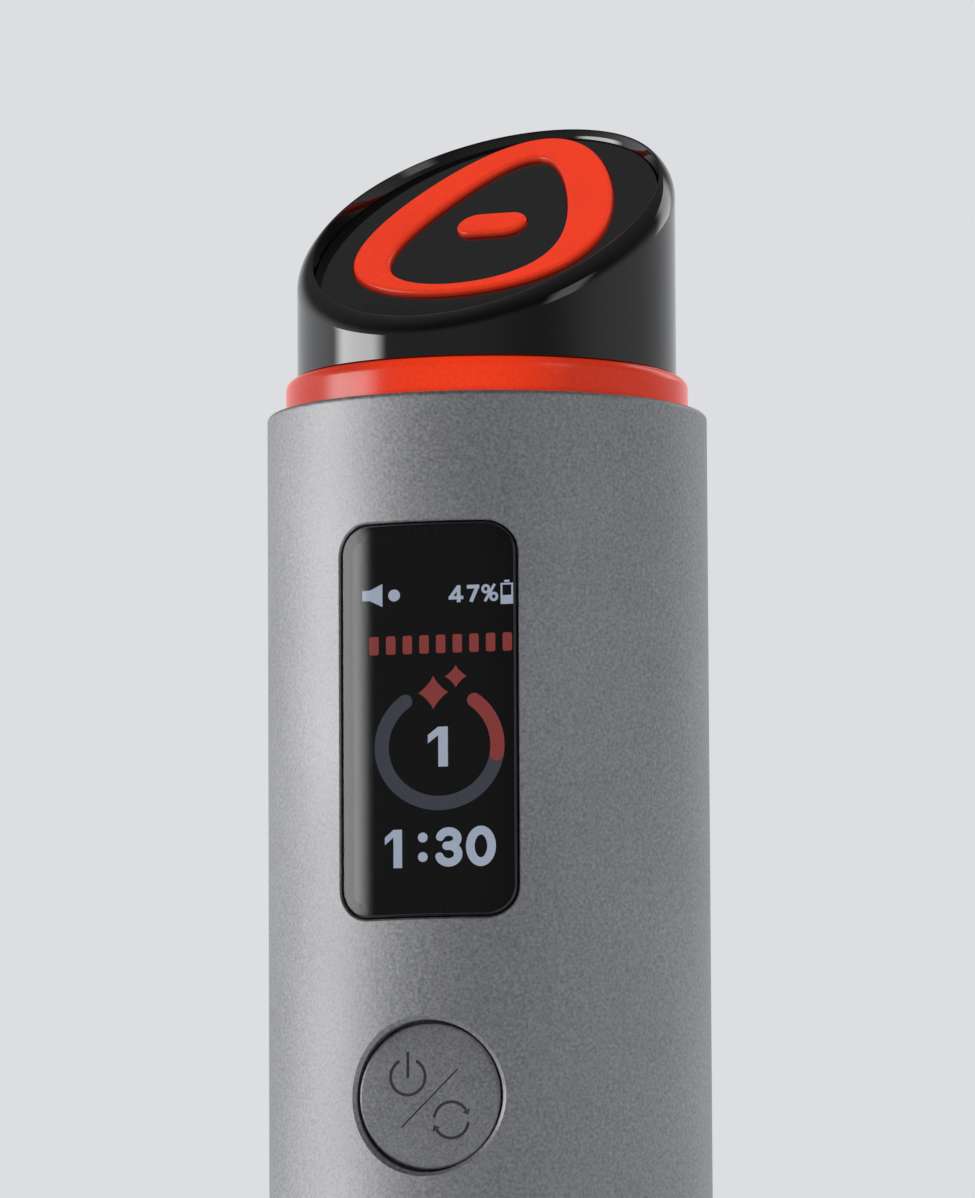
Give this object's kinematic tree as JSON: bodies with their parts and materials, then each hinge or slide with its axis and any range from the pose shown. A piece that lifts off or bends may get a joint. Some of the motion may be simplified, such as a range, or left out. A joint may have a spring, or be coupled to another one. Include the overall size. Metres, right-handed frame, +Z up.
{
  "type": "facial massager",
  "caption": "Upright handheld facial massager: an aluminium tube with a display and a push button, a lit neck ring and a slanted black head with a lit teardrop.",
  "frame": {"origin": "centre of the foot ring's lower face, where the device stands", "axes": "+Z up along the tube towards the head, -Y out of the display and the button, +X to the right of someone who looks at the display"},
  "size_m": [0.033, 0.033, 0.1459],
  "materials": {
    "satin_aluminium": "bead blasted, satin, clear anodised",
    "gloss_black": "polished black",
    "dark_glass": "polished, dark tinted",
    "lit_orange": "milky, lit from behind, smooth",
    "display": "smooth, black when off",
    "black_plastic": "moulded, fine grain",
    "foam": "soft closed-cell foam",
    "black_rubber": "matt",
    "white_silicone": "matt",
    "white_plastic": "moulded, matt",
    "circuit_board": "green solder mask",
    "white_board": "white solder mask with small lamps",
    "chips": "moulded, matt",
    "steel": "plain, machined",
    "cell_wrap": "shrink wrap",
    "plunger": "moulded"
  },
  "bodies": {
    "housing": {"body_tube": "satin_aluminium", "display_glass": "dark_glass", "glass_gasket": "foam", "display_panel": "display", "display_bezel": "black_plastic", "tact_switch": "chips", "button_guide": "black_plastic", "inner_frame": "black_plastic", "main_board": "circuit_board", "board_chips": "chips", "board_screws": "steel", "battery_cell": "cell_wrap", "battery_foam": "foam", "speaker": "chips", "motor_can": "steel", "motor_boot": "black_rubber", "base_cap": "black_plastic", "base_seal": "black_rubber", "base_foot": "black_rubber", "base_screws": "steel", "charge_port": "steel", "charge_board": "circuit_board", "charge_board_screws": "steel", "neck_plate": "black_plastic", "neck_seal": "black_rubber", "neck_screws": "steel", "neck_led_board": "white_board", "neck_light_ring": "lit_orange", "head_shell": "gloss_black", "head_screws": "steel", "face_panel": "gloss_black", "face_island": "gloss_black", "teardrop_light": "lit_orange", "pill_light": "lit_orange", "light_baffle": "white_plastic", "head_led_board": "circuit_board"},
    "button": {"button_cap": "satin_aluminium", "button_pad": "white_silicone", "switch_plunger": "plunger"},
    "rotor": {"motor_rotor": "steel"}
  },
  "joints": [
    {"name": "button_press", "type": "slide", "parent": "housing", "child": "button", "axis": [0, 1, 0], "range_m": [0, 0.0005], "stiffness_N_per_m": 3000, "springref_m": -0.0001},
    {"name": "motor_spin", "type": "hinge", "parent": "housing", "child": "rotor", "pos_m": [0, 0.005, 0.1], "axis": [0, 0, 1], "continuous": true}
  ]
}
